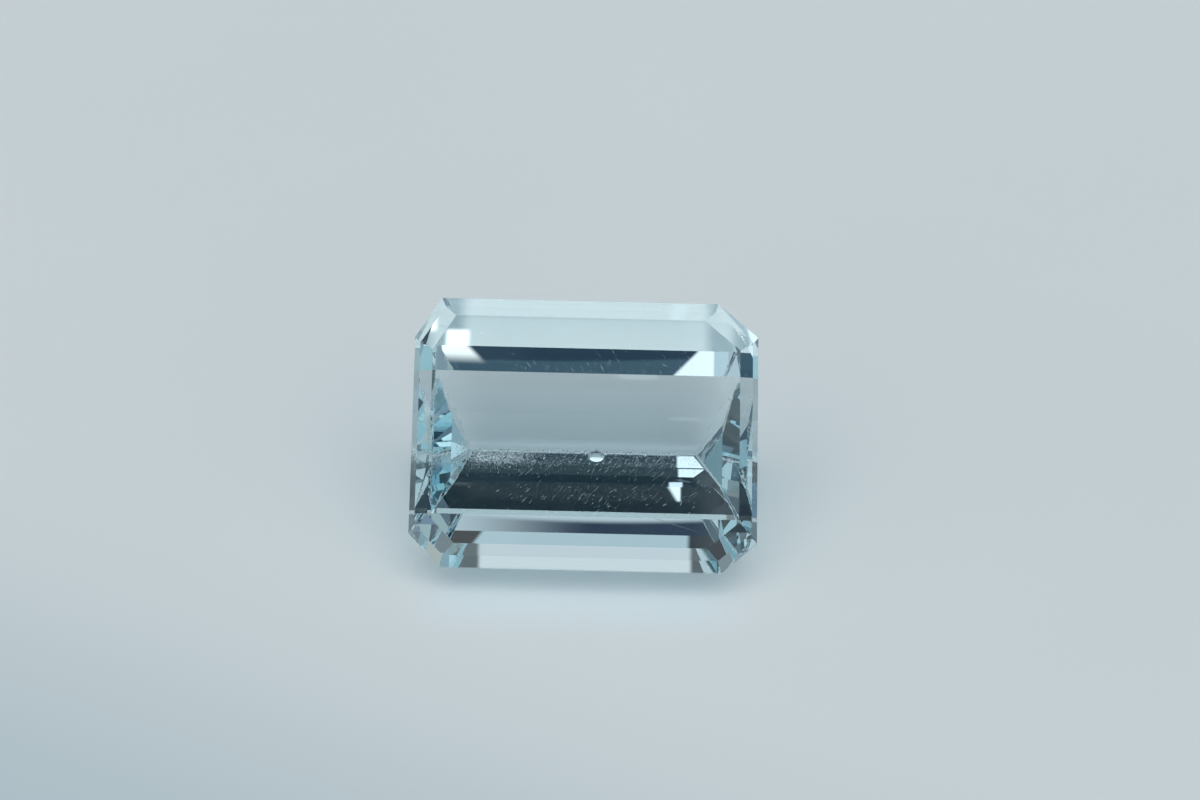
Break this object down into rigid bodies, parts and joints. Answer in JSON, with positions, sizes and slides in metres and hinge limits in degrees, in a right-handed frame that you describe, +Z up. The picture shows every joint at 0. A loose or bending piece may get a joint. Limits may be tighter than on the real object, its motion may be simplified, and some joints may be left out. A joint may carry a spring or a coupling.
{
  "type": "faceted topaz",
  "caption": "Loose step-cut octagon topaz, near colourless with a faint blue tint, resting tipped on one pavilion facet with its table forward.",
  "frame": {"origin": "on the surface the stone rests on, under the middle of its bounding box", "axes": "+Z up; +X along the keel, the stone's long direction; the table faces up and towards -Y"},
  "size_m": [0.012, 0.0078, 0.0072],
  "materials": {
    "topaz": "polished, transparent, refractive index 1.62, faint blue; keel worn"
  },
  "bodies": {
    "root": {"topaz": "topaz"}
  },
  "joints": []
}
